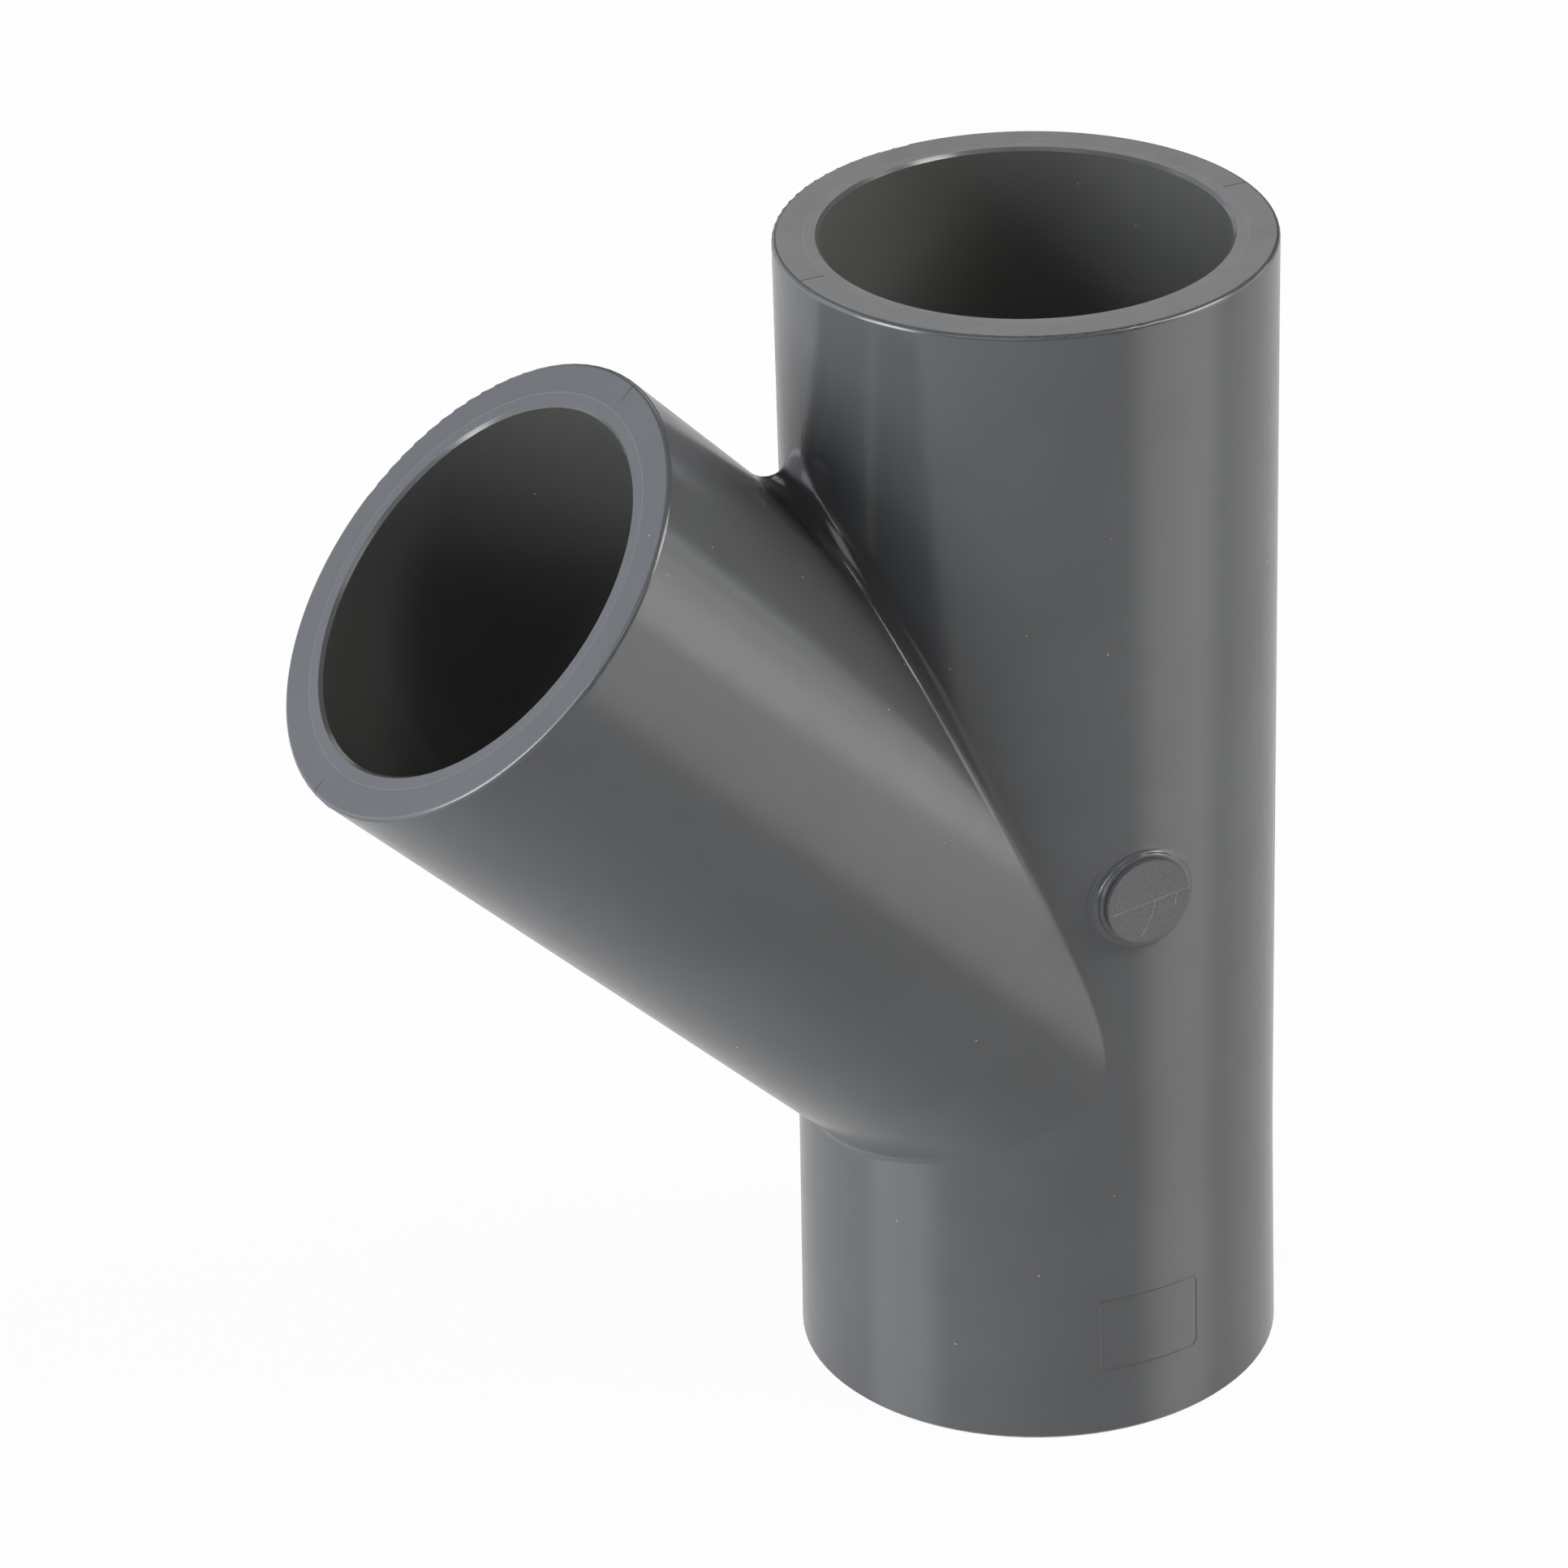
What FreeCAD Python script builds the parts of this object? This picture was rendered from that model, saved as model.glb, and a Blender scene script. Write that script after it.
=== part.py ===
import FreeCAD, Part
import math
import os
import Sketcher

# Lateral wye pipe fitting, moulded in one piece, in millimetres.
# The run stands along +Z with its lower mouth centred on the origin.
# The branch leans towards -X and upwards, and the gate disc is on the -Y side.

# Driving sizes: name, value, meaning
SIZES = (
    ("socket_diameter", "48.34", "bore that takes the pipe end, at its mean taper"),
    ("socket_depth", "34.93", "depth of each socket down to its pipe stop"),
    ("mouth_chamfer", "0.4", "bevel at the mouth of each socket"),
    ("run_waterway", "40.0", "assumed bore of the run between its two pipe stops"),
    ("branch_waterway", "39.2", "assumed bore of the branch below its pipe stop"),
    ("short_leg", "46.7", "lower mouth to the crossing of the centrelines"),
    ("long_leg", "101.1", "crossing of the centrelines to the upper mouth"),
    ("branch_leg", "101.3", "crossing of the centrelines to the branch mouth"),
    ("branch_angle", "45.0", "angle between the upper run and the branch, in degrees"),
    ("waist_height", "28.0", "narrowest ring of the run above the lower mouth"),
    ("waist_diameter", "58.36", "outside of the run at its narrowest ring"),
    ("run_draft", "0.22", "outward taper of the run above that ring, in degrees"),
    ("foot_draft", "0.57", "outward taper of the run below that ring, in degrees"),
    ("branch_step", "0.55", "how far the branch lies inside the run's surface at the crossing"),
    ("branch_draft", "0.75", "outward taper of the branch, in degrees"),
    ("rim_round", "0.6", "rounding of the outer edge at the upper and branch mouths"),
    ("foot_bevel", "0.4", "bevel of the outer edge at the lower mouth"),
    ("seam_round", "2.0", "rounding in the seam between the run and the branch"),
    ("gate_height", "73.6", "middle of the gate disc above the lower mouth"),
    ("gate_shift", "-0.4", "middle of the gate disc along X"),
    ("gate_foot_diameter", "11.9", "wider foot of the gate disc"),
    ("gate_foot_rise", "0.65", "gate foot above the run's surface"),
    ("gate_diameter", "10.7", "face of the gate disc"),
    ("gate_rise", "1.3", "gate face above the run's surface"),
    ("gate_round", "0.3", "rounding of the gate foot's edge"),
)

TOUCH = 0.02  # how near a point has to be to a surface or a middle to count as on it


def taper(length, draft):
    """How far a surface of this length and draft leans out, as an expression."""
    return "(%s) * tan(%s * 1 deg)" % (length, draft)


def run_radius(height):
    """The run's outer radius at a height above its narrowest ring, as an expression."""
    return "sizes.waist_diameter / 2 + " + taper(height + " - sizes.waist_height", "sizes.run_draft")


RUN_LENGTH = "(sizes.short_leg + sizes.long_leg)"
SOCKET_RADIUS = "sizes.socket_diameter / 2"
WAIST_RADIUS = "sizes.waist_diameter / 2"
BOTTOM_RADIUS = WAIST_RADIUS + " + " + taper("sizes.waist_height", "sizes.foot_draft")
TOP_RADIUS = run_radius(RUN_LENGTH)
BRANCH_ROOT_RADIUS = run_radius("sizes.short_leg") + " - sizes.branch_step"
BRANCH_RIM_RADIUS = BRANCH_ROOT_RADIUS + " + " + taper("sizes.branch_leg", "sizes.branch_draft")
GATE_SEAT = run_radius("sizes.gate_height")


def make_sheet(doc):
    """The spreadsheet of driving sizes, one alias for each."""
    sheet = doc.addObject("Spreadsheet::Sheet", "sizes")
    for row, (alias, value, meaning) in enumerate(SIZES, 1):
        sheet.set("A%d" % row, alias)
        sheet.set("B%d" % row, value)
        sheet.set("C%d" % row, meaning)
        sheet.setAlias("B%d" % row, alias)
    doc.recompute()
    return sheet


def worked_out(item, size):
    """The number that an expression gives now."""
    return float(item.evalExpression(size))


def upright_sketch(body, name):
    """An empty sketch on the body's own XZ plane, its x along +X and its y along +Z."""
    sketch = body.newObject("Sketcher::SketchObject", name)
    plane = next(f for f in body.Origin.OriginFeatures if f.Role == "XZ_Plane")
    sketch.AttachmentSupport = [(plane, "")]
    sketch.MapMode = "FlatFace"
    return sketch


def lean_along_branch(sketch):
    """Turn and lift a sketch so that its y axis runs out along the branch's centreline."""
    turned = FreeCAD.Rotation(FreeCAD.Vector(0, 0, 1), 1)
    sketch.AttachmentOffset = FreeCAD.Placement(FreeCAD.Vector(0, 1, 0), turned)
    sketch.setExpression("AttachmentOffset.Base.y", "sizes.short_leg")
    sketch.setExpression("AttachmentOffset.Rotation.Angle", "sizes.branch_angle * 1 deg")


def pin_point(sketch, element, point, x_size, y_size):
    """Hold a point of an element at two sizes from the sketch's origin."""
    for direction, size in (("DistanceX", x_size), ("DistanceY", y_size)):
        value = worked_out(sketch, size)
        held = Sketcher.Constraint(direction, -1, 1, element, point, value)
        number = sketch.addConstraint(held)
        sketch.setExpression("Constraints[%d]" % number, size)


def outline(sketch, corners):
    """A closed outline of straight lines through corners given as pairs of sizes."""
    points = [
        FreeCAD.Vector(worked_out(sketch, x_size), worked_out(sketch, y_size), 0)
        for x_size, y_size in corners
    ]
    count = len(points)
    for i in range(count):
        sketch.addGeometry(Part.LineSegment(points[i], points[(i + 1) % count]))
    for i in range(count):
        sketch.addConstraint(Sketcher.Constraint("Coincident", i, 2, (i + 1) % count, 1))
    for i, (x_size, y_size) in enumerate(corners):
        pin_point(sketch, i, 1, x_size, y_size)


def turn(body, kind, name, sketch):
    """Turn a sketch fully round its own y axis, adding or cutting."""
    feature = body.newObject(kind, name)
    feature.Profile = sketch
    feature.ReferenceAxis = (sketch, ["V_Axis"])
    feature.Angle = 360
    body.Document.recompute()
    return feature


def run_outside(body):
    """The run's outer skin, drafted both ways from its narrowest ring.

    Its outline is drawn on the branch's side, so that the skin's own closing line
    ends in the seam with the branch.
    """
    sketch = upright_sketch(body, "run_profile")
    outline(
        sketch,
        (
            ("0", "0"),
            ("-(" + BOTTOM_RADIUS + ")", "0"),
            ("-(" + WAIST_RADIUS + ")", "sizes.waist_height"),
            ("-(" + TOP_RADIUS + ")", RUN_LENGTH),
            ("0", RUN_LENGTH),
        ),
    )
    return turn(body, "PartDesign::Revolution", "run_skin", sketch)


def branch_outside(body):
    """The branch's outer skin, from inside the run out to its mouth."""
    sketch = upright_sketch(body, "branch_profile")
    lean_along_branch(sketch)
    outline(
        sketch,
        (
            ("0", "0"),
            (BRANCH_ROOT_RADIUS, "0"),
            (BRANCH_RIM_RADIUS, "sizes.branch_leg"),
            ("0", "sizes.branch_leg"),
        ),
    )
    return turn(body, "PartDesign::Revolution", "branch_skin", sketch)


def mouths(body):
    """The middle of each mouth: lower run, upper run and branch."""
    lean = math.radians(worked_out(body, "sizes.branch_angle"))
    crossing = worked_out(body, "sizes.short_leg")
    reach = worked_out(body, "sizes.branch_leg")
    return (
        FreeCAD.Vector(0, 0, 0),
        FreeCAD.Vector(0, 0, worked_out(body, RUN_LENGTH)),
        FreeCAD.Vector(-reach * math.sin(lean), 0, crossing + reach * math.cos(lean)),
    )


def circles(shape, radius, middle):
    """Names of the circular edges of a radius around a point."""
    names = []
    for number, edge in enumerate(shape.Edges, 1):
        curve = edge.Curve
        if not isinstance(curve, Part.Circle):
            continue
        if abs(curve.Radius - radius) < TOUCH and curve.Center.distanceToPoint(middle) < TOUCH:
            names.append("Edge%d" % number)
    return names


def finish_edges(body, kind, name, base, edges, property_name, size):
    """Round or bevel the named edges of a feature."""
    feature = body.newObject(kind, name)
    feature.Base = (base, edges)
    feature.setExpression(property_name, size)
    body.Document.recompute()
    return feature


def round_rims(body, base):
    """Round the outer edge at the upper and branch mouths."""
    _, upper, branch = mouths(body)
    edges = []
    for size, middle in ((TOP_RADIUS, upper), (BRANCH_RIM_RADIUS, branch)):
        edges += circles(base.Shape, worked_out(body, size), middle)
    return finish_edges(
        body, "PartDesign::Fillet", "rim_rounding", base, edges, "Radius", "sizes.rim_round"
    )


def bevel_foot(body, base):
    """Bevel the outer edge at the lower mouth, where the fitting stands."""
    edges = circles(base.Shape, worked_out(body, BOTTOM_RADIUS), mouths(body)[0])
    return finish_edges(
        body, "PartDesign::Chamfer", "foot_edge", base, edges, "Size", "sizes.foot_bevel"
    )


def seam_edges(body, shape):
    """Names of the edges along which the two outer skins meet."""
    lean = math.radians(worked_out(body, "sizes.branch_angle"))
    crossing = worked_out(body, "sizes.short_leg")
    root_radius = worked_out(body, BRANCH_ROOT_RADIUS)
    branch_slope = math.tan(math.radians(worked_out(body, "sizes.branch_draft")))

    def in_seam(point):
        along = -point.x * math.sin(lean) + (point.z - crossing) * math.cos(lean)
        sideways = point.x * math.cos(lean) + (point.z - crossing) * math.sin(lean)
        off_branch = math.hypot(sideways, point.y) - root_radius - along * branch_slope
        off_run = math.hypot(point.x, point.y) - worked_out(body, run_radius("%.6f" % point.z))
        return along > 0 and abs(off_branch) < TOUCH and abs(off_run) < TOUCH

    names = []
    for number, edge in enumerate(shape.Edges, 1):
        if all(in_seam(point) for point in edge.discretize(5)):
            names.append("Edge%d" % number)
    return names


def round_seam(body, base):
    """Round the seam all the way round, from the crotch to the underside."""
    return finish_edges(
        body, "PartDesign::Fillet", "seam_rounding", base,
        seam_edges(body, base.Shape), "Radius", "sizes.seam_round"
    )


def gate_disc(body, name, diameter, rise):
    """A disc on the run's -Y side, seated in the wall and standing proud by its rise."""
    sketch = upright_sketch(body, name + "_outline")
    middle = FreeCAD.Vector(
        worked_out(sketch, "sizes.gate_shift"), worked_out(sketch, "sizes.gate_height"), 0
    )
    radius = worked_out(sketch, diameter) / 2
    sketch.addGeometry(Part.Circle(middle, FreeCAD.Vector(0, 0, 1), radius))
    pin_point(sketch, 0, 3, "sizes.gate_shift", "sizes.gate_height")
    number = sketch.addConstraint(Sketcher.Constraint("Diameter", 0, 2 * radius))
    sketch.setExpression("Constraints[%d]" % number, diameter)
    feature = body.newObject("PartDesign::Pad", name)
    feature.Profile = sketch
    feature.setExpression("Length", GATE_SEAT + " + " + rise)
    body.Document.recompute()
    return feature


def gate_mark(body):
    """The gate disc on its wider foot, with the foot's outer edge rounded."""
    gate_disc(body, "gate_foot", "sizes.gate_foot_diameter", "sizes.gate_foot_rise")
    face = gate_disc(body, "gate_face", "sizes.gate_diameter", "sizes.gate_rise")
    middle = FreeCAD.Vector(
        worked_out(body, "sizes.gate_shift"),
        -worked_out(body, GATE_SEAT + " + sizes.gate_foot_rise"),
        worked_out(body, "sizes.gate_height"),
    )
    edges = circles(face.Shape, worked_out(body, "sizes.gate_foot_diameter / 2"), middle)
    return finish_edges(
        body, "PartDesign::Fillet", "gate_rounding", face, edges, "Radius", "sizes.gate_round"
    )


def run_bore(body):
    """The run's through bore: a socket at each end and the narrower waterway between."""
    sketch = upright_sketch(body, "run_bore_profile")
    upper_stop = RUN_LENGTH + " - sizes.socket_depth"
    outline(
        sketch,
        (
            ("0", "0"),
            (SOCKET_RADIUS, "0"),
            (SOCKET_RADIUS, "sizes.socket_depth"),
            ("sizes.run_waterway / 2", "sizes.socket_depth"),
            ("sizes.run_waterway / 2", upper_stop),
            (SOCKET_RADIUS, upper_stop),
            (SOCKET_RADIUS, RUN_LENGTH),
            ("0", RUN_LENGTH),
        ),
    )
    return turn(body, "PartDesign::Groove", "run_bore", sketch)


def branch_bore(body):
    """The branch's bore, from inside the run's waterway out to its socket."""
    sketch = upright_sketch(body, "branch_bore_profile")
    lean_along_branch(sketch)
    stop = "sizes.branch_leg - sizes.socket_depth"
    outline(
        sketch,
        (
            ("0", "0"),
            ("sizes.branch_waterway / 2", "0"),
            ("sizes.branch_waterway / 2", stop),
            (SOCKET_RADIUS, stop),
            (SOCKET_RADIUS, "sizes.branch_leg"),
            ("0", "sizes.branch_leg"),
        ),
    )
    return turn(body, "PartDesign::Groove", "branch_bore", sketch)


def bevel_mouths(body, base):
    """Bevel the edge where each socket opens on its face."""
    edges = []
    for middle in mouths(body):
        edges += circles(base.Shape, worked_out(body, SOCKET_RADIUS), middle)
    return finish_edges(
        body, "PartDesign::Chamfer", "mouth_bevels", base, edges, "Size", "sizes.mouth_chamfer"
    )


def check_cut(before, after):
    """Stop if a cut took nothing away."""
    if after.Shape.Volume >= before.Shape.Volume:
        raise ValueError(after.Name + " cut nothing")


def wye_body(doc):
    """The whole fitting, one moulded piece."""
    body = doc.addObject("PartDesign::Body", "wye_body")
    body.Label = "wye_body"
    run_outside(body)
    skin = branch_outside(body)
    rims = bevel_foot(body, round_rims(body, skin))
    round_seam(body, rims)
    solid = gate_mark(body)
    run = run_bore(body)
    check_cut(solid, run)
    branch = branch_bore(body)
    check_cut(run, branch)
    bevel_mouths(body, branch)
    return body


def check(doc, bodies):
    """Stop if any object failed, or if a piece isn't one valid solid."""
    for item in doc.Objects:
        if "Invalid" in item.State or "Error" in item.State:
            raise ValueError(item.Name + " failed: " + str(item.State))
    for body in bodies:
        shape = body.Shape
        if shape.isNull() or not shape.isValid() or len(shape.Solids) != 1:
            raise ValueError(body.Label + " is not one valid solid")


def main():
    doc = FreeCAD.newDocument("lateral_wye")
    make_sheet(doc)
    bodies = [wye_body(doc)]
    doc.recompute()
    check(doc, bodies)
    os.makedirs("parts", exist_ok=True)
    for body in bodies:
        body.Shape.exportStep("parts/" + body.Label + ".step")


main()
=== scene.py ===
import math

import bpy
from mathutils import Matrix, Vector


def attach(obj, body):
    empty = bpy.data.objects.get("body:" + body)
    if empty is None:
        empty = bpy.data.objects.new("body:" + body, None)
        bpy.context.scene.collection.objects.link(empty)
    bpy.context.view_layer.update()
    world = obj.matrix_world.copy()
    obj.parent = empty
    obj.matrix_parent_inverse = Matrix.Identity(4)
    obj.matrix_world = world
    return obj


# Lateral wye fitting: its looks, studio and camera. Lengths are in metres, unless a name or the
# comment over it says millimetres.

# Where the camera stands: angles in degrees, distances in millimetres, focal length in pixels
CAMERA_AZIMUTH = -24.965385
CAMERA_ELEVATION = 28.010835
CAMERA_ROLL = -1.614895
CAMERA_DISTANCE_MM = 970.85495
CAMERA_TARGET_MM = (0.0, 0.0, 46.686)
CAMERA_OFFSET_PX = (308.522874, 249.894824)
FOCAL_PX = 9773.217247
IMAGE_PX = 1932
SENSOR_MM = 36.0

MM_PER_METRE = 1000.0
DIAGONAL = math.sqrt(0.5)

# The fitting's own sizes that its surface details are placed by, in millimetres. A slope is
# how much wider a tube gets over its length, from its draft in degrees.
CROSSING_MM = 46.7
RUN_LENGTH_MM = 147.8
BRANCH_LEG_MM = 101.3
WAIST_HEIGHT_MM = 28.0
WAIST_RADIUS_MM = 29.18
UPPER_SLOPE = math.tan(math.radians(0.22))
FOOT_SLOPE = math.tan(math.radians(0.57))
BRANCH_MOUTH_RADIUS_MM = 30.03
BRANCH_SLOPE = math.tan(math.radians(0.75))
SEAM_ROUNDING = 2.0
MOUTH_ROUNDING = 0.6

# The seam's rounding is wider in the middle of the crotch, and shrinks to both sides until it
# dives under the solid's own. All in millimetres: its edges are sunk by the last one.
CROTCH_ROUNDING = 3.5
CROTCH_END_ROUNDING = 1.85
CROTCH_REACH = 14.0
CROTCH_SUNK = 0.03

# The gate disc: its middle, the radius of its foot, how far that stands off the skin, and its face
GATE_X_MM = -0.4
GATE_Z_MM = 73.6
GATE_FOOT_RADIUS_MM = 5.95
GATE_FOOT_RISE_MM = 0.65
GATE_FACE_Y_MM = -30.5

# Surface details, in millimetres
FACE_DEPTH = 0.2
WITNESS_RADIUS = 26.0
BAND_EDGE = 0.1
HAIRLINE = 0.12
RING = 0.08
SOCKET_RADIUS = 24.3
BORE_EDGE = 0.3
GATE_LINES = (
    ((-5.16, 0.0, 72.82), (5.05, 0.0, 74.16)),
    ((0.35, 0.0, 73.45), (0.04, 0.0, 71.66)),
    ((0.04, 0.0, 71.66), (-1.4, 0.0, 69.1)),
    ((3.31, 0.0, 73.95), (3.11, 0.0, 72.3)),
)
COLLAR_WIDTH = 1.0
COLLAR_SHARE = 0.6
COLLAR_SUNK = 0.01
INSERT_MIDDLE = (0.5, 13.9)
INSERT_HALF = (6.7, 4.9)
INSERT_CORNER = 0.9
BEAD_WIDTH = 0.2
BEAD_HEIGHT = 0.036
BEAD_SUNK = 0.004
BEAD_STEP = 0.3
NIB_FROM_MOUTH = (1.6, 4.4)
NIB_HEIGHT = 0.35
NIB_WIDTH = 0.25
NIB_SUNK = 0.1
NIB_EXTRA = 0.02

# For the outer skin's own normal: how far to each side the slopes at the waist run together,
# and how far to each side of the branch's centreline the crotch's wider rounding comes in, in
# millimetres. Both skins keep a least share, so that their sum has a direction everywhere.
WAIST_BLEND = 4.0
CROTCH_SIDE = 5.0
LEAST_SHARE = 0.0001

# Where that normal takes over from the mesh's, in millimetres, from the first number of each
# pair to the second. On the nib it goes back to the mesh's.
OUT_OF_BORES = (28.0, 28.2)
ABOVE_BEVEL = (0.5, 0.6)
OFF_GATE = (7.1, 7.3)
ROUND_INSERT = (0.3, 0.2)
NIB_ALONG = (95.0, 95.5)
NIB_OFF_SKIN = (0.01, 0.03)

# How high marks stand, in millimetres, and how strongly they tint the plastic
WAVES_RISE = 0.004
SKIN_RISE = 0.0007
GRAIN_RISE = 0.03
LINES_RISE = 0.05
RING_RISE = 0.006
PARTING_RISE = 0.01
NOTCH_DEPTH = 0.12
# The band's tint is painted light for the band's slight tilt
BAND_PAINTED_LIGHT = 0.1
RING_TINT = 0.8
SCUFF_TINT = 0.55
LINES_TINT = 0.8
DUST_TINT = 0.7

# Scales of the patterns, per millimetre
BLOTCHES_SCALE = 0.06
WAVES_SCALE = 0.22
DUST_SCALE = 0.24
SMEARS_SCALE = 0.25
SKIN_SCALE = 2.5
GRAIN_SCALE = 3.4

# Colours, as light
PLASTIC = (0.083, 0.085, 0.0895, 1.0)
PLASTIC_PALE = (0.091, 0.0935, 0.099, 1.0)
# The inside tone is painted light, lighter than the plastic, that lifts the sockets' dim insides
PLASTIC_INSIDE_PAINTED_LIGHT = (0.1, 0.1, 0.097, 1.0)
SCUFF = (0.155, 0.16, 0.165, 1.0)
DUST = (0.34, 0.34, 0.33, 1.0)
# The groove tone is painted shade for the parting notches
GROOVE_PAINTED_SHADE = (0.03, 0.03, 0.031, 1.0)
IOR = 1.53

COOL = (0.955, 0.985, 1.0)
WARM = (1.0, 0.99, 0.95)
BLUE = (0.88, 0.94, 1.0)
PLAIN = (1.0, 1.0, 1.0)
WHITE = (1.0, 1.0, 1.0, 1.0)
SKY = (0.9, 0.95, 1.0, 1.0)
BLUE_SKY = (0.84, 0.86, 1.0, 1.0)

# Soft boxes that face the fitting, each as its name, azimuth and elevation in degrees, how
# bright its own surface is, where 1 is white, its colour and its size against a whole one
STUDIO_MIDDLE = Vector((-0.02, 0.0, 0.08))
SOFTBOX_DISTANCE = 1.2
SOFTBOX_WIDTH = 0.6
SOFTBOX_HEIGHT = 0.48
SOFT_BOXES = (
    ("left_low", 270, 8, 11.5, COOL, 1.0),
    ("left_middle", 270, 25, 17.5, BLUE, 0.45),
    ("left_high", 270, 33, 3.5, COOL, 1.0),
    ("left_front_low", 240, 8, 0.8, COOL, 1.0),
    ("left_front_high", 240, 33, 1.35, COOL, 1.0),
    ("right_low", 60, 8, 1.85, WARM, 1.0),
    ("right_back_low", 90, 8, 1.75, BLUE, 1.0),
    ("right_middle", 60, 33, 10.2, WARM, 1.0),
    ("right_high", 47, 56, 12.0, WARM, 0.5),
    ("front_left_high", 315, 55, 1.85, PLAIN, 1.0),
    ("front_right_high", 30, 60, 0.45, PLAIN, 1.0),
    ("back_right_high", 150, 33, 1.3, PLAIN, 1.0),
    ("back_low", 180, 8, 0.6, PLAIN, 1.0),
)

FLOOR_SIZE = 6.0
FLOOR_TONE = (0.75, 0.75, 0.75, 1.0)
FLOOR_WHITENESS = 0.96

# What reflections show besides the soft boxes: how bright the pale floor is, the sine of the
# elevation from which down it is whole, and pale boards, each as its azimuth, elevation, inner
# and outer radius in degrees, brightness and colour
PALE_FLOOR = 0.68
FLOOR_EDGE = -0.12
PALE_BOARDS = (
    (46, -12, 17, 30, 1.1, WHITE),
    (264, -31, 8, 21, 0.9, SKY),
    (220, 12, 24, 38, 1.02, BLUE_SKY),
)


class Nodes:
    """Short ways to add nodes to one node tree."""

    def __init__(self, tree):
        self.tree = tree
        tree.nodes.clear()

    def add(self, kind, **settings):
        node = self.tree.nodes.new(kind)
        for name, value in settings.items():
            setattr(node, name, value)
        return node

    def put(self, socket, value):
        """Link a socket to a value's output, or set its own number or colour."""
        if isinstance(value, bpy.types.NodeSocket):
            self.tree.links.new(value, socket)
        else:
            socket.default_value = value

    def math(self, operation, *values, clamp=False):
        node = self.add("ShaderNodeMath", operation=operation, use_clamp=clamp)
        for socket, value in zip(node.inputs, values):
            self.put(socket, value)
        return node.outputs[0]

    def span(self, value, low, high, to_low=0.0, to_high=1.0):
        """Map a value smoothly from one span to another, held at both ends."""
        node = self.add("ShaderNodeMapRange", interpolation_type="SMOOTHSTEP")
        for name, number in (
            ("Value", value), ("From Min", low), ("From Max", high),
            ("To Min", to_low), ("To Max", to_high),
        ):
            self.put(node.inputs[name], number)
        return node.outputs[0]

    def split(self, vector):
        node = self.add("ShaderNodeSeparateXYZ")
        self.put(node.inputs[0], vector)
        return node.outputs[0], node.outputs[1], node.outputs[2]

    def scaled(self, vector, factor):
        node = self.add("ShaderNodeVectorMath", operation="SCALE")
        self.put(node.inputs[0], vector)
        self.put(node.inputs["Scale"], factor)
        return node.outputs[0]

    def join(self, x, y, z):
        node = self.add("ShaderNodeCombineXYZ")
        for socket, value in zip(node.inputs, (x, y, z)):
            self.put(socket, value)
        return node.outputs[0]

    def vector(self, operation, first, second=None):
        node = self.add("ShaderNodeVectorMath", operation=operation)
        self.put(node.inputs[0], first)
        if second is not None:
            self.put(node.inputs[1], second)
        return node.outputs["Value" if operation in ("DOT_PRODUCT", "DISTANCE") else "Vector"]

    def unit_sum(self, share, first, other_share, second):
        """Unit vector of two vectors added in two shares."""
        return self.vector("NORMALIZE", self.vector(
            "ADD", self.scaled(first, share), self.scaled(second, other_share)))

    def length(self, a, b):
        squares = self.math("ADD", self.math("MULTIPLY", a, a), self.math("MULTIPLY", b, b))
        return self.math("SQRT", squares)

    def ridge(self, distance, width=HAIRLINE):
        """1 on a line, falling off to 0 at its width."""
        return self.span(self.math("ABSOLUTE", distance), width, 0.0)

    def to_segment(self, point, start, end):
        """Distance from a point to a straight stretch between two places."""
        reach = Vector(end) - Vector(start)
        offset = self.vector("SUBTRACT", point, start)
        dot = self.vector("DOT_PRODUCT", offset, reach / reach.length_squared)
        share = self.math("MULTIPLY", dot, 1.0, clamp=True)
        return self.vector("DISTANCE", offset, self.scaled(reach, share))

    def blend(self, share, first, second):
        """Mix two colours."""
        node = self.add("ShaderNodeMix", data_type="RGBA")
        self.put(node.inputs[0], share)
        self.put(node.inputs[6], first)
        self.put(node.inputs[7], second)
        return node.outputs[2]

    def noise(self, place, scale, detail=2.0, roughness=0.5):
        node = self.add("ShaderNodeTexNoise")
        self.put(node.inputs["Vector"], place)
        self.put(node.inputs["Scale"], scale)
        self.put(node.inputs["Detail"], detail)
        self.put(node.inputs["Roughness"], roughness)
        return node.outputs[0]


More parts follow.
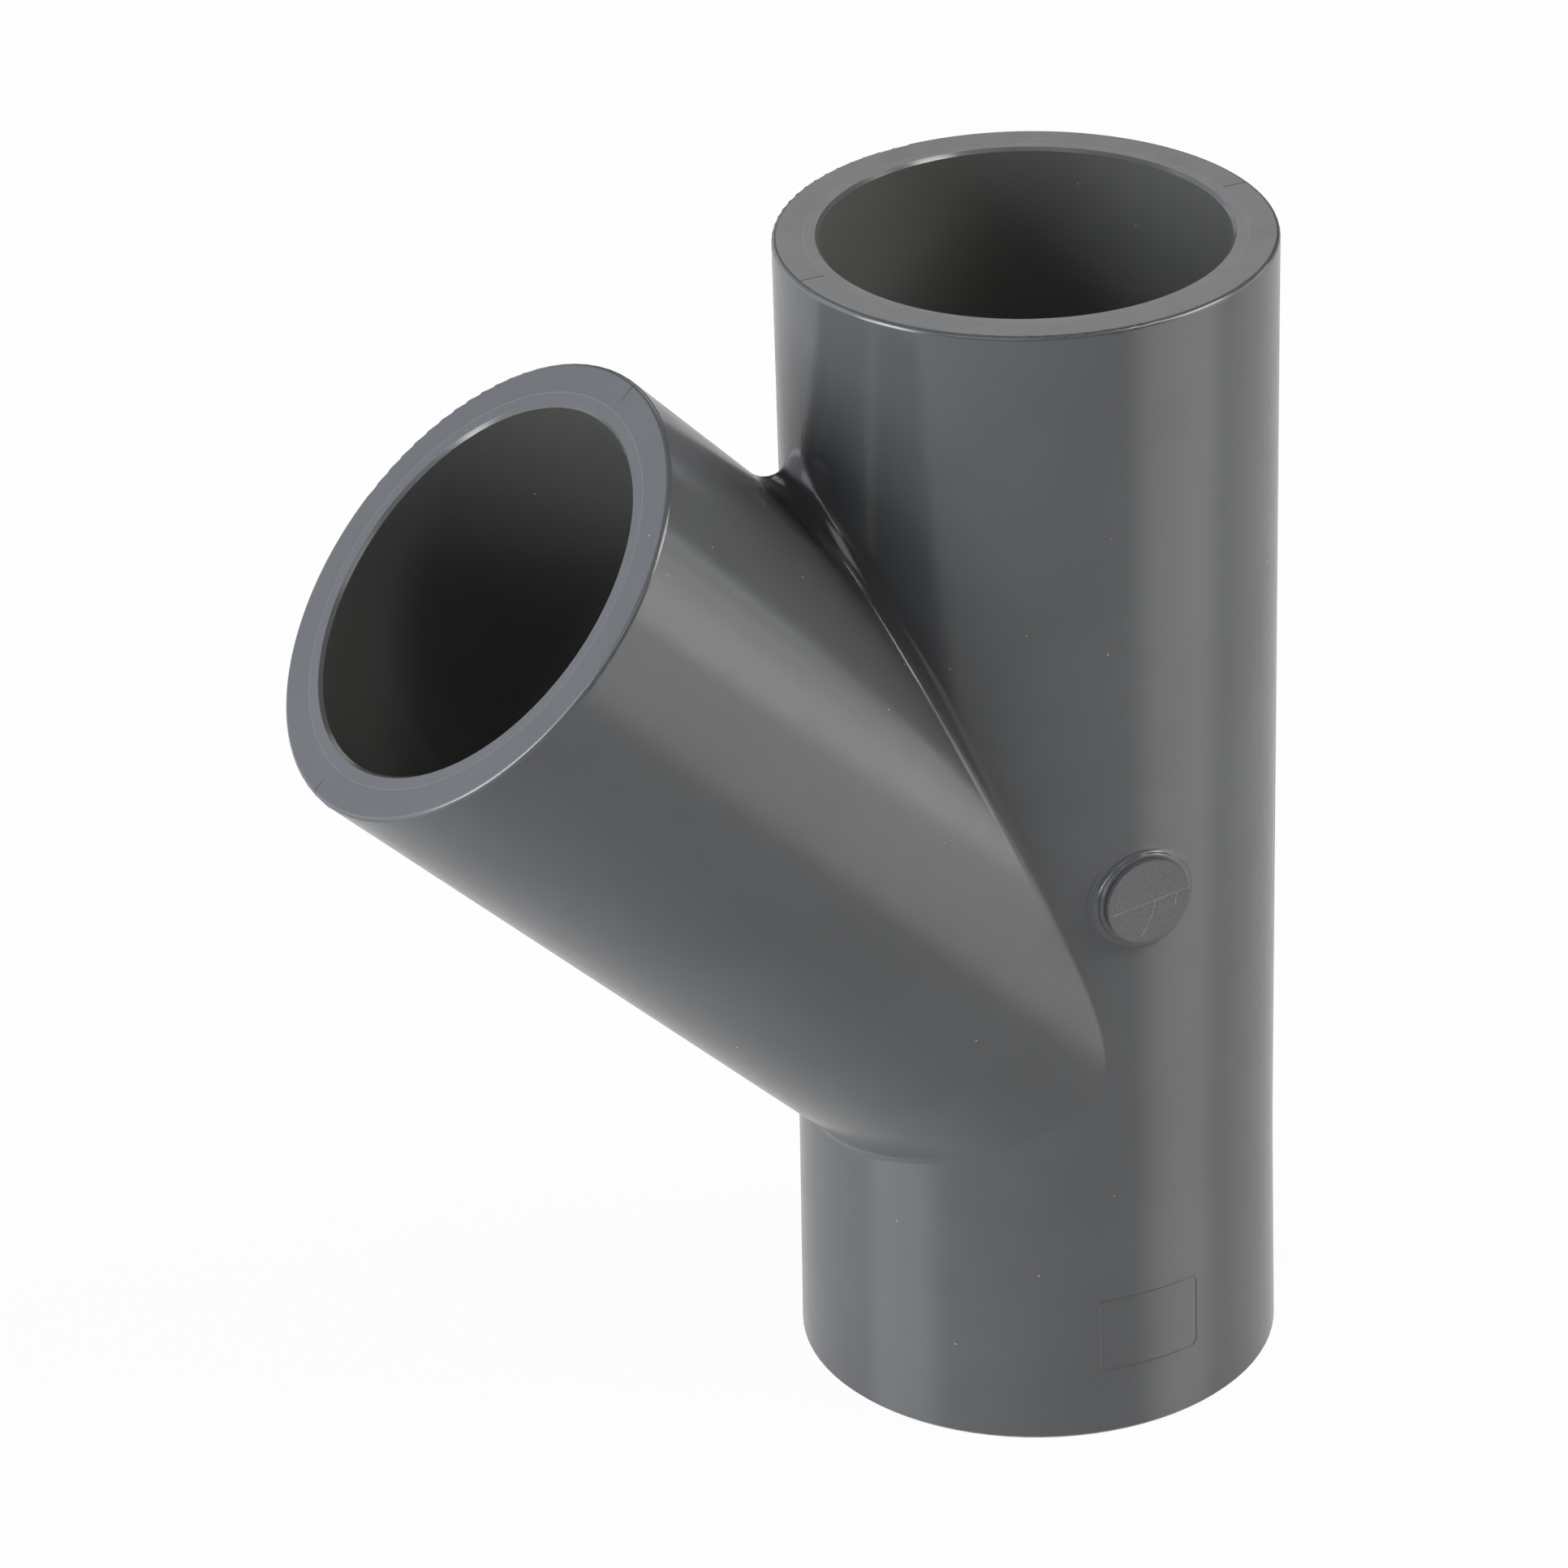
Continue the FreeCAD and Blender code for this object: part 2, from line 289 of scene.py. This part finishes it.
def skin_normal(n, x, y, z, from_run, from_branch, along, across):
    """The outer skin's own normal, worked out from its sizes, so that no facet shows in its
    gloss: two drafted tubes, the seam rounded between them and the rounded mouths.
    """
    slope = n.span(z, WAIST_HEIGHT_MM - WAIST_BLEND, WAIST_HEIGHT_MM + WAIST_BLEND,
        FOOT_SLOPE, -UPPER_SLOPE)
    run = n.vector("NORMALIZE", n.join(x, y, n.math("MULTIPLY", from_run, slope)))
    lean = n.math("MULTIPLY", from_branch, BRANCH_SLOPE)
    branch = n.vector("NORMALIZE", n.join(
        n.math("MULTIPLY", n.math("ADD", across, lean), DIAGONAL),
        y,
        n.math("MULTIPLY", n.math("SUBTRACT", across, lean), DIAGONAL)))

    # How far a place lies outside each tube's skin
    over = n.math("SUBTRACT", z, WAIST_HEIGHT_MM)
    wider = n.math("MAXIMUM",
        n.math("MULTIPLY", over, UPPER_SLOPE), n.math("MULTIPLY", over, -FOOT_SLOPE))
    off_run = n.math("SUBTRACT", n.math("SUBTRACT", from_run, WAIST_RADIUS_MM), wider)
    to_mouth = n.math("SUBTRACT", BRANCH_LEG_MM, along)
    off_branch = n.math("ADD", n.math("SUBTRACT", from_branch, BRANCH_MOUTH_RADIUS_MM),
        n.math("MULTIPLY", to_mouth, BRANCH_SLOPE))

    # The seam as a rolling ball leaves it: its normal leans on each skin by how near that is
    between = n.vector("DOT_PRODUCT", run, branch)
    at_crotch = n.math("MAXIMUM", 0.0, n.math("SUBTRACT",
        n.span(n.math("ABSOLUTE", y), CROTCH_REACH, 0.0, CROTCH_END_ROUNDING, CROTCH_ROUNDING),
        SEAM_ROUNDING))
    rounding = n.math("ADD", SEAM_ROUNDING,
        n.math("MULTIPLY", at_crotch, n.span(across, -CROTCH_SIDE, CROTCH_SIDE)))
    leans = []
    for off in (off_run, off_branch):
        lean = n.math("SUBTRACT", 1.0, n.math("DIVIDE", off, rounding))
        leans.append(n.math("MAXIMUM", n.math("MINIMUM", lean, 1.0), between))
    run_share = n.math("SUBTRACT", leans[0], n.math("MULTIPLY", leans[1], between))
    branch_share = n.math("SUBTRACT", leans[1], n.math("MULTIPLY", leans[0], between))

    # The rounded mouths
    top = n.math("SUBTRACT", z, RUN_LENGTH_MM - MOUTH_ROUNDING)
    run = n.unit_sum(
        n.math("MAXIMUM", n.math("ADD", off_run, MOUTH_ROUNDING), 0.0), run,
        n.math("MAXIMUM", top, 0.0), (0.0, 0.0, 1.0))
    end = n.math("SUBTRACT", MOUTH_ROUNDING, to_mouth)
    branch = n.unit_sum(
        n.math("MAXIMUM", n.math("ADD", off_branch, MOUTH_ROUNDING), 0.0), branch,
        n.math("MAXIMUM", end, 0.0), (-DIAGONAL, 0.0, DIAGONAL))
    exact = n.unit_sum(
        n.math("ADD", run_share, LEAST_SHARE), run,
        n.math("ADD", branch_share, LEAST_SHARE), branch)
    turned = n.add("ShaderNodeVectorTransform",
        vector_type="NORMAL", convert_from="OBJECT", convert_to="WORLD")
    n.put(turned.inputs[0], exact)

    # Not for the insides, the foot's bevel, the gate, the insert's outline or the nib
    nearest = n.math("MINIMUM", from_run, from_branch)
    from_gate = n.length(n.math("SUBTRACT", x, GATE_X_MM), n.math("SUBTRACT", z, GATE_Z_MM))
    aside = [n.math("ABSOLUTE", n.math("SUBTRACT", value, middle))
        for value, middle in zip((x, z), INSERT_MIDDLE)]
    on_insert = n.math("MULTIPLY",
        n.span(aside[0], INSERT_HALF[0] + ROUND_INSERT[0], INSERT_HALF[0] + ROUND_INSERT[1]),
        n.span(aside[1], INSERT_HALF[1] + ROUND_INSERT[0], INSERT_HALF[1] + ROUND_INSERT[1]))
    on_nib = n.math("MULTIPLY", n.span(along, *NIB_ALONG), n.span(off_branch, *NIB_OFF_SKIN))
    share = n.math("MULTIPLY", n.span(nearest, *OUT_OF_BORES), n.span(z, *ABOVE_BEVEL))
    share = n.math("MULTIPLY", share, n.span(from_gate, *OFF_GATE))
    share = n.math("MULTIPLY", share, n.math("SUBTRACT", 1.0, on_insert))
    share = n.math("MULTIPLY", share, n.math("SUBTRACT", 1.0, on_nib))
    plain = n.add("ShaderNodeNewGeometry").outputs["Normal"]
    return n.unit_sum(share, turned.outputs[0], n.math("SUBTRACT", 1.0, share), plain)


def moulded_plastic():
    """Satin dark grey plastic as it comes from the mould, with the marks that the mould leaves."""
    material = bpy.data.materials.new("pvc_body")
    material.use_nodes = True
    n = Nodes(material.node_tree)
    shader = n.add("ShaderNodeBsdfPrincipled")
    out = n.add("ShaderNodeOutputMaterial")
    n.put(out.inputs["Surface"], shader.outputs[0])
    place = n.scaled(n.add("ShaderNodeTexCoord").outputs["Object"], MM_PER_METRE)
    x, y, z = n.split(place)

    # Distances from the two centrelines, and along the branch, which ends at the run's middle
    from_run = n.length(x, y)
    above = n.math("SUBTRACT", z, CROSSING_MM)
    along = n.math("MULTIPLY", n.math("SUBTRACT", above, x), DIAGONAL)
    across = n.math("MULTIPLY", n.math("ADD", above, x), DIAGONAL)
    from_branch = n.length(across, y)
    beyond = n.math("MULTIPLY", n.math("MAXIMUM", x, 0.0), 10.0)
    from_branch = n.math("ADD", from_branch, beyond)

    # The end faces of the run and of the branch
    half = RUN_LENGTH_MM / 2.0
    off_middle = n.math("ABSOLUTE", n.math("SUBTRACT", z, half))
    run_face = n.span(off_middle, half - FACE_DEPTH, half - FACE_DEPTH / 2.0)
    branch_face = n.span(along, BRANCH_LEG_MM - FACE_DEPTH, BRANCH_LEG_MM - FACE_DEPTH / 2.0)
    run_face = n.math("MULTIPLY", run_face, n.math("SUBTRACT", 1.0, branch_face))
    faces = n.math("MAXIMUM", run_face, branch_face)

    # A witness ring of the core pin on each face, and the band inside it, painted a little
    # lighter: painted light that stands in for the band's slight tilt
    ring = n.math("MAXIMUM",
        n.math("MULTIPLY", run_face, n.ridge(n.math("SUBTRACT", from_run, WITNESS_RADIUS), RING)),
        n.math("MULTIPLY", branch_face,
            n.ridge(n.math("SUBTRACT", from_branch, WITNESS_RADIUS), RING)))
    painted_band_light = n.math("MAXIMUM",
        n.math("MULTIPLY", run_face,
            n.span(from_run, WITNESS_RADIUS + BAND_EDGE, WITNESS_RADIUS)),
        n.math("MULTIPLY", branch_face,
            n.span(from_branch, WITNESS_RADIUS + BAND_EDGE, WITNESS_RADIUS)))

    # The parting line, in the plane of the two centrelines and outside the bores
    outside = n.math("MULTIPLY",
        n.span(from_run, WITNESS_RADIUS, WITNESS_RADIUS + BORE_EDGE),
        n.span(from_branch, WITNESS_RADIUS, WITNESS_RADIUS + BORE_EDGE))
    parting = n.math("MULTIPLY", n.ridge(y), outside)
    rim = n.math("MULTIPLY",
        n.span(from_branch, WITNESS_RADIUS + 1.0, WITNESS_RADIUS + 2.5, 0.3, 1.0), branch_face)
    # The notches are sunk and also painted dark: painted shade in their groove
    notch_groove_and_shade = n.math("MULTIPLY", parting,
        n.math("MAXIMUM", rim, n.math("MULTIPLY", run_face, 0.25)))

    # The gate's face, scuffed where the sprue came off, with a few raised hairlines
    gate = n.math("MULTIPLY",
        n.span(y, GATE_FACE_Y_MM + 0.05, GATE_FACE_Y_MM - 0.05),
        n.span(n.math("ABSOLUTE", n.math("SUBTRACT", z, GATE_Z_MM)), 7.0, 6.5))
    flat = n.join(x, 0.0, z)
    lines = 0.0
    for start, end in GATE_LINES:
        lines = n.math("MAXIMUM", lines, n.ridge(n.to_segment(flat, start, end)))
    grain = n.noise(place, GRAIN_SCALE, 4.0, 0.7)
    lines = n.math("MULTIPLY",
        n.math("MULTIPLY", lines, gate), n.span(grain, 0.35, 0.6, 0.25, 1.0))
    scuffs = n.math("MULTIPLY", gate, n.span(grain, 0.42, 0.66))

    # Inside the sockets the grey is painted lighter and a little warmer: painted light that lifts
    # their dim insides
    nearest = n.math("MINIMUM", from_run, from_branch)
    painted_inside_light = n.math("MULTIPLY",
        n.span(nearest, SOCKET_RADIUS + BORE_EDGE, SOCKET_RADIUS),
        n.math("SUBTRACT", 1.0, faces))

    # Dust: one speck in some of the cells
    cells = n.add("ShaderNodeTexVoronoi")
    n.put(cells.inputs["Vector"], place)
    n.put(cells.inputs["Scale"], DUST_SCALE)
    speck = n.span(cells.outputs["Distance"], 0.042, 0.02)
    chosen = n.span(n.split(cells.outputs["Color"])[0], 0.62, 0.66)
    dust = n.math("MULTIPLY", speck, chosen)

    blotches = n.noise(place, BLOTCHES_SCALE, 3.0)
    colour = n.blend(n.span(blotches, 0.32, 0.7), PLASTIC, PLASTIC_PALE)
    for share, tint in (
        # painted light inside the sockets
        (painted_inside_light, PLASTIC_INSIDE_PAINTED_LIGHT),
        # painted light on the band inside the witness ring
        (n.math("MULTIPLY", painted_band_light, BAND_PAINTED_LIGHT), SCUFF),
        (n.math("MULTIPLY", ring, RING_TINT), SCUFF),
        (n.math("MULTIPLY", scuffs, SCUFF_TINT), SCUFF),
        (n.math("MULTIPLY", lines, LINES_TINT), DUST),
        # painted shade in the parting notches
        (notch_groove_and_shade, GROOVE_PAINTED_SHADE),
        (n.math("MULTIPLY", dust, DUST_TINT), DUST),
    ):
        colour = n.blend(share, colour, tint)
    n.put(shader.inputs["Base Color"], colour)

    smears = n.noise(place, SMEARS_SCALE, 4.0, 0.6)
    rough = n.span(smears, 0.3, 0.72, 0.15, 0.2)
    rough = n.math("ADD", rough, n.math("MULTIPLY", faces, 0.06))
    rough = n.math("ADD", rough, n.math("MULTIPLY", gate, n.span(grain, 0.3, 0.7, 0.1, 0.3)))
    rough = n.math("ADD", rough, n.math("MULTIPLY", dust, 0.4))
    n.put(shader.inputs["Roughness"], rough)
    n.put(shader.inputs["IOR"], IOR)

    # Heights in millimetres
    waves = n.math("MULTIPLY", n.noise(place, WAVES_SCALE, 2.0), WAVES_RISE)
    skin = n.math("MULTIPLY", n.noise(place, SKIN_SCALE, 3.0), SKIN_RISE)
    height = n.math("ADD", waves, skin)
    for mark, rise in (
        (n.math("MULTIPLY", grain, gate), GRAIN_RISE), (lines, LINES_RISE),
        (ring, RING_RISE), (parting, PARTING_RISE),
    ):
        height = n.math("ADD", height, n.math("MULTIPLY", mark, rise))
    height = n.math("SUBTRACT", height, n.math("MULTIPLY", notch_groove_and_shade, NOTCH_DEPTH))
    bump = n.add("ShaderNodeBump")
    n.put(bump.inputs["Height"], height)
    n.put(bump.inputs["Strength"], 1.0)
    n.put(bump.inputs["Distance"], 1.0 / MM_PER_METRE)
    normal = skin_normal(n, x, y, z, from_run, from_branch, along, across)
    n.put(bump.inputs["Normal"], normal)
    n.put(shader.inputs["Normal"], bump.outputs[0])
    return material


def run_radius(z):
    """The run's outside radius at a height, in millimetres."""
    slope = UPPER_SLOPE if z > WAIST_HEIGHT_MM else FOOT_SLOPE
    return WAIST_RADIUS_MM + abs(z - WAIST_HEIGHT_MM) * slope


def front_y(x, z):
    """Where the run's front skin is, at a place across it and a height, in millimetres."""
    return -math.sqrt(run_radius(z) ** 2 - x * x)


def piece(name, rows, material, closed):
    """A smooth sheet through rows of points in millimetres, each row closed on itself or not."""
    count = len(rows[0])
    points = [tuple(value / MM_PER_METRE for value in point) for row in rows for point in row]
    quads = []
    for r in range(len(rows) - 1):
        for c in range(count if closed else count - 1):
            d = (c + 1) % count
            quads.append((r * count + c, r * count + d, (r + 1) * count + d, (r + 1) * count + c))
    mesh = bpy.data.meshes.new(name)
    mesh.from_pydata(points, [], quads)
    mesh.polygons.foreach_set("use_smooth", [True] * len(quads))
    mesh.materials.append(material)
    mesh.update()
    made = bpy.data.objects.new(name, mesh)
    bpy.context.collection.objects.link(made)
    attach(made, "root")
    return made


def gate_collar(material):
    """The soft hollow round the foot of the gate disc."""
    foot_y = front_y(0.0, GATE_Z_MM) - GATE_FOOT_RISE_MM
    steps, spokes = 12, 144
    rows = []
    for step in range(steps + 1):
        turn = math.radians(90.0 * step / steps)
        radius = GATE_FOOT_RADIUS_MM + COLLAR_WIDTH * (1.0 - math.sin(turn))
        sunk = COLLAR_SUNK if step == 0 else 0.0
        row = []
        for spoke in range(spokes):
            angle = math.tau * spoke / spokes
            x = GATE_X_MM + radius * math.cos(angle)
            z = GATE_Z_MM + radius * math.sin(angle)
            skin = front_y(x, z)
            rise = COLLAR_SHARE * (skin - foot_y) * (1.0 - math.cos(turn))
            row.append((x, skin - rise + sunk, z))
        rows.append(row)
    return piece("gate_collar", rows, material, True)


def crotch_web(material):
    """The seam's wider rounding at the crotch, as a ball leaves it that rolls along the seam and
    shrinks to both sides.
    """
    half, parts, rounds = 24, 28, 40
    rows = []
    for step in range(2 * half + 1):
        y = CROTCH_REACH * (1.0 - step / half)
        share = 1.0 - abs(y) / CROTCH_REACH
        share = share * share * (3.0 - 2.0 * share)
        ball = CROTCH_END_ROUNDING + (CROTCH_ROUNDING - CROTCH_END_ROUNDING) * share

        # The ball's middle touches both skins, whose radii depend on where it lies
        z = along = 100.0
        for _ in range(rounds):
            x = -math.sqrt((run_radius(z) + ball) ** 2 - y * y)
            radius = BRANCH_MOUTH_RADIUS_MM - (BRANCH_LEG_MM - along) * BRANCH_SLOPE
            across = math.sqrt((radius + ball) ** 2 - y * y)
            above = across * math.sqrt(2.0) - x
            z = CROSSING_MM + above
            along = (above - x) * DIAGONAL
        middle = Vector((x, y, z))
        to_run = Vector((x, y, 0.0)).normalized()
        to_branch = Vector((across * DIAGONAL, y, across * DIAGONAL)).normalized()
        row = []
        for part in range(parts + 1):
            way = to_run.slerp(to_branch, part / parts)
            sunk = CROTCH_SUNK if part in (0, parts) else 0.0
            row.append(tuple(middle - way * (ball + sunk)))
        rows.append(row)
    return piece("crotch_web", rows, material, False)


def insert_outline(material):
    """The fine raised outline that the mould's bare insert leaves near the foot."""
    steps = 8
    path = []
    for corner, (side, top) in enumerate(((1, 1), (-1, 1), (-1, -1), (1, -1))):
        middle_x = INSERT_MIDDLE[0] + side * (INSERT_HALF[0] - INSERT_CORNER)
        middle_z = INSERT_MIDDLE[1] + top * (INSERT_HALF[1] - INSERT_CORNER)
        for step in range(steps + 1):
            angle = math.radians(90.0 * corner + 90.0 * step / steps)
            path.append((middle_x, middle_z, angle))
    rows = []
    for share in (-1.0, -0.7, -0.35, 0.0, 0.35, 0.7, 1.0):
        radius = INSERT_CORNER + share * BEAD_WIDTH / 2.0
        rise = BEAD_HEIGHT * math.cos(share * math.pi / 2.0) - BEAD_SUNK
        row = []
        for index, (middle_x, middle_z, angle) in enumerate(path):
            here = (middle_x + radius * math.cos(angle), middle_z + radius * math.sin(angle))
            after_x, after_z, turned = path[(index + 1) % len(path)]
            there = (after_x + radius * math.cos(turned), after_z + radius * math.sin(turned))
            parts = max(1, round(math.dist(here, there) / BEAD_STEP))
            for part in range(parts):
                x = here[0] + (there[0] - here[0]) * part / parts
                z = here[1] + (there[1] - here[1]) * part / parts
                row.append((x, front_y(x, z) - rise, z))
        rows.append(row)
    return piece("insert_outline", rows, material, True)


def flash_nib(material):
    """The small tag of flash on the parting line under the branch's mouth."""
    steps, quarter = 16, 4
    start, end = NIB_FROM_MOUTH
    rows = []
    for step in range(steps + 1):
        share = step / steps
        along = BRANCH_LEG_MM - (start + (end - start) * share)
        top = NIB_HEIGHT * math.sin(math.pi * share) ** 0.5
        row = []
        for turn in range(2 * quarter + 1):
            side = -1.0 + turn / quarter
            rise = (top + NIB_EXTRA) * math.cos(side * math.pi / 2.0)
            out = BRANCH_MOUTH_RADIUS_MM - NIB_SUNK + rise
            row.append((
                (-along - out) * DIAGONAL,
                side * NIB_WIDTH / 2.0,
                CROSSING_MM + (along - out) * DIAGONAL,
            ))
        rows.append(row)
    return piece("flash_nib", rows, material, False)


def heading(azimuth, elevation):
    """Unit vector towards a direction in degrees: azimuth 0 is in front, on the -Y side, and
    90 is on the +X side.
    """
    across = math.cos(math.radians(elevation))
    return Vector((
        across * math.sin(math.radians(azimuth)),
        -across * math.cos(math.radians(azimuth)),
        math.sin(math.radians(elevation)),
    ))


def studio_world():
    """White to the camera. Reflections show a pale floor and backdrop in a dim room."""
    world = bpy.data.worlds.new("studio")
    bpy.context.scene.world = world
    world.use_nodes = True
    n = Nodes(world.node_tree)
    path = n.add("ShaderNodeLightPath").outputs
    way = n.add("ShaderNodeTexCoord").outputs["Generated"]
    mirror = path["Is Glossy Ray"]
    seen = n.math("ADD", path["Is Camera Ray"], path["Is Transmission Ray"], clamp=True)
    low = n.span(n.split(way)[2], 0.0, FLOOR_EDGE, 0.0, PALE_FLOOR)
    glow = n.add("ShaderNodeBackground")
    n.put(glow.inputs["Color"], WHITE)
    n.put(glow.inputs["Strength"], n.math("ADD", seen, n.math("MULTIPLY", low, mirror)))
    total = glow.outputs[0]
    for azimuth, elevation, inner, outer, brightness, colour in PALE_BOARDS:
        near = n.vector("DOT_PRODUCT", way, heading(azimuth, elevation))
        edge = math.cos(math.radians(outer))
        full = math.cos(math.radians(inner))
        strength = n.span(near, edge, full, 0.0, brightness)
        board = n.add("ShaderNodeBackground")
        n.put(board.inputs["Color"], colour)
        n.put(board.inputs["Strength"], n.math("MULTIPLY", strength, mirror))
        both = n.add("ShaderNodeAddShader")
        n.put(both.inputs[0], total)
        n.put(both.inputs[1], board.outputs[0])
        total = both.outputs[0]
    out = n.add("ShaderNodeOutputWorld")
    n.put(out.inputs["Surface"], total)


def floor():
    """A pale floor under the fitting, almost white to the camera but for the shadow."""
    bpy.ops.mesh.primitive_plane_add(size=FLOOR_SIZE, location=(0, 0, 0))
    plane = bpy.context.object
    plane.name = "floor"
    material = bpy.data.materials.new("floor")
    material.use_nodes = True
    n = Nodes(material.node_tree)
    path = n.add("ShaderNodeLightPath").outputs
    seen = n.math("ADD", path["Is Camera Ray"], path["Is Glossy Ray"], clamp=True)
    seen = n.math("ADD", seen, path["Is Transmission Ray"], clamp=True)
    pale = n.add("ShaderNodeBsdfDiffuse")
    n.put(pale.inputs["Color"], FLOOR_TONE)
    white = n.add("ShaderNodeEmission")
    n.put(white.inputs["Color"], WHITE)
    n.put(white.inputs["Strength"], 1.0)
    mix = n.add("ShaderNodeMixShader")
    n.put(mix.inputs[0], n.math("MULTIPLY", seen, FLOOR_WHITENESS))
    n.put(mix.inputs[1], pale.outputs[0])
    n.put(mix.inputs[2], white.outputs[0])
    out = n.add("ShaderNodeOutputMaterial")
    n.put(out.inputs["Surface"], mix.outputs[0])
    plane.data.materials.append(material)
    plane.visible_glossy = False


def soft_box(name, azimuth, elevation, brightness, colour, size):
    """A lamp with an even, wide face that is turned to the fitting."""
    away = heading(azimuth, elevation)
    data = bpy.data.lights.new(name, "AREA")
    data.shape = "RECTANGLE"
    data.size = SOFTBOX_WIDTH * size
    data.size_y = SOFTBOX_HEIGHT * size
    data.energy = brightness * math.pi * data.size * data.size_y
    data.color = colour
    lamp = bpy.data.objects.new(name, data)
    bpy.context.collection.objects.link(lamp)
    lamp.location = STUDIO_MIDDLE + away * SOFTBOX_DISTANCE
    lamp.rotation_euler = (-away).to_track_quat("-Z", "Y").to_euler()
    lamp.visible_camera = False


def camera():
    """The camera, at the viewpoint the picture was taken from."""
    azimuth = math.radians(CAMERA_AZIMUTH)
    roll = math.radians(CAMERA_ROLL)
    back = heading(CAMERA_AZIMUTH, CAMERA_ELEVATION)
    level = Vector((math.cos(azimuth), math.sin(azimuth), 0.0))
    above = back.cross(level)
    right = level * math.cos(roll) + above * math.sin(roll)
    up = above * math.cos(roll) - level * math.sin(roll)
    per_px = CAMERA_DISTANCE_MM / FOCAL_PX
    place = (
        Vector(CAMERA_TARGET_MM) + back * CAMERA_DISTANCE_MM
        - right * CAMERA_OFFSET_PX[0] * per_px + up * CAMERA_OFFSET_PX[1] * per_px
    ) / MM_PER_METRE
    data = bpy.data.cameras.new("camera")
    data.sensor_fit = "HORIZONTAL"
    data.sensor_width = SENSOR_MM
    data.lens = FOCAL_PX * SENSOR_MM / IMAGE_PX
    data.clip_start = 0.01
    data.clip_end = 20.0
    eye = bpy.data.objects.new("camera", data)
    bpy.context.collection.objects.link(eye)
    turned = Matrix((right, up, back)).transposed().to_4x4()
    eye.matrix_world = Matrix.Translation(place) @ turned
    bpy.context.scene.camera = eye


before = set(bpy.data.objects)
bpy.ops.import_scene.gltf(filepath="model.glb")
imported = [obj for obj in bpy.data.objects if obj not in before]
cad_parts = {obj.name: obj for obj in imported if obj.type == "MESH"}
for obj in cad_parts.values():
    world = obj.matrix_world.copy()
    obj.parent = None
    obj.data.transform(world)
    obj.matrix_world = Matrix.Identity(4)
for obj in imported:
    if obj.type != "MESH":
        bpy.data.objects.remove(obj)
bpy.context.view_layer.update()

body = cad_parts["wye_body"]
plastic = moulded_plastic()
body.data.materials.clear()
body.data.materials.append(plastic)
gate_collar(plastic)
crotch_web(plastic)
insert_outline(plastic)
flash_nib(plastic)

studio_world()
floor()
for box in SOFT_BOXES:
    soft_box(*box)
camera()

bpy.context.scene.view_settings.view_transform = "Standard"
